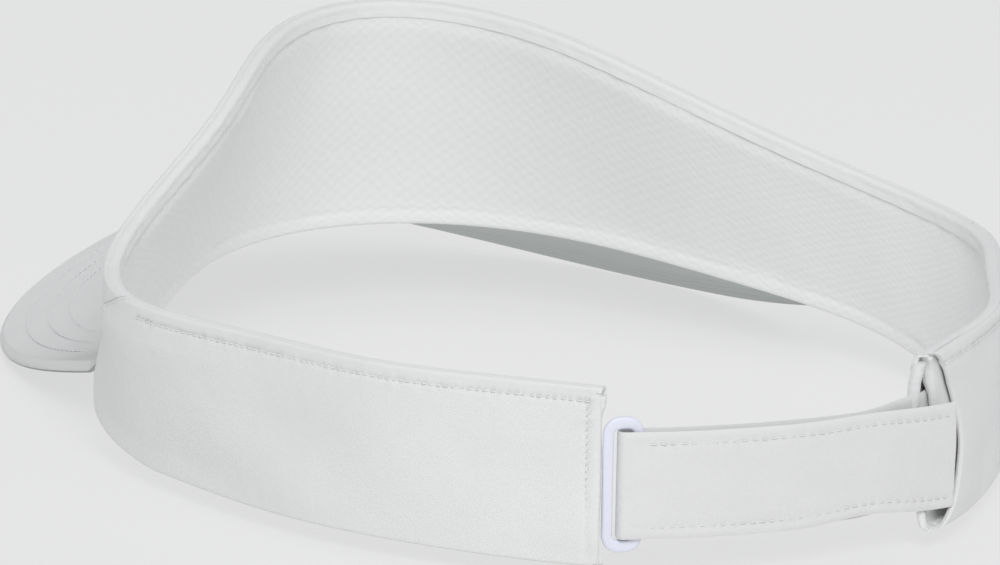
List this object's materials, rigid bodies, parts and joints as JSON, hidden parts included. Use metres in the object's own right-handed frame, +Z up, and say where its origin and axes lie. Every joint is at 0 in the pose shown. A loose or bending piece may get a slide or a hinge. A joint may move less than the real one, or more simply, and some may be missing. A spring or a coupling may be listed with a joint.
{
  "type": "sun visor",
  "caption": "Open-crown sun visor with a curved stitched brim, a lined band and an adjustable rear strap that runs through a slide loop.",
  "frame": {"origin": "centre of the bounding box in plan, at the height of its lowest point, the brim's lower side edges", "axes": "+Z up out of the open crown with the band's bottom edge level at the sides and rear, -Y towards the brim, +X towards the wearer's left"},
  "size_m": [0.1762, 0.255, 0.0664],
  "materials": {
    "shell_cloth": "woven cotton twill",
    "lining_knit": "pique knit",
    "binding": "rolled woven binding",
    "brim_under_cloth": "woven cotton twill",
    "interlining": "stiff non-woven",
    "brim_board": "satin sheet",
    "thread": "sewing thread",
    "loop_plastic": "satin moulded",
    "strap_tape": "woven tape",
    "pile_pad": "brushed pile",
    "hook_pad": "hook tape"
  },
  "bodies": {
    "crown": {"band_lining": "lining_knit", "brim_board": "brim_board", "brim_bottom_cover": "brim_under_cloth", "brim_stitch_1": "thread", "brim_stitch_2": "thread", "brim_stitch_3": "thread", "brim_top_cover": "shell_cloth", "flange_stitch": "thread", "front_panel_outer": "shell_cloth", "front_stiffener": "interlining", "left_end_stitch": "thread", "left_interlining": "interlining", "left_seam_stitch": "thread", "left_side_outer": "shell_cloth", "left_top_stitch": "thread", "loop_flange": "loop_plastic", "pile_patch": "pile_pad", "right_end_facing": "shell_cloth", "right_end_stitch": "thread", "right_interlining": "interlining", "right_seam_stitch": "thread", "right_side_outer": "shell_cloth", "right_top_stitch": "thread", "strap_base": "strap_tape", "strap_root_stitch": "thread", "top_binding": "binding"},
    "loop": {"slide_loop": "loop_plastic"},
    "strap_turn": {"strap_turn": "strap_tape", "strap_web": "strap_tape", "web_stitch": "thread"},
    "strap_tail": {"strap_tail": "strap_tape", "hook_patch": "hook_pad", "tail_stitch": "thread"}
  },
  "joints": [
    {"name": "loop_swivel", "type": "hinge", "parent": "crown", "child": "loop", "pos_m": [0.03061, 0.12157, 0.01821], "axis": [0, 0, 1], "range_deg": [-3, 3]},
    {"name": "strap_peel", "type": "hinge", "parent": "crown", "child": "strap_turn", "pos_m": [0.02521, 0.12266, 0.01821], "axis": [0, 0, -1], "range_deg": [0, 110], "deforming": ["strap_turn"]},
    {"name": "strap_adjust", "type": "hinge", "parent": "strap_turn", "child": "strap_tail", "pos_m": [0.00161, 0.00556, 0.01821], "axis": [0, 0, -1], "range_deg": [0, 12.3], "deforming": ["strap_web", "web_stitch"]}
  ]
}
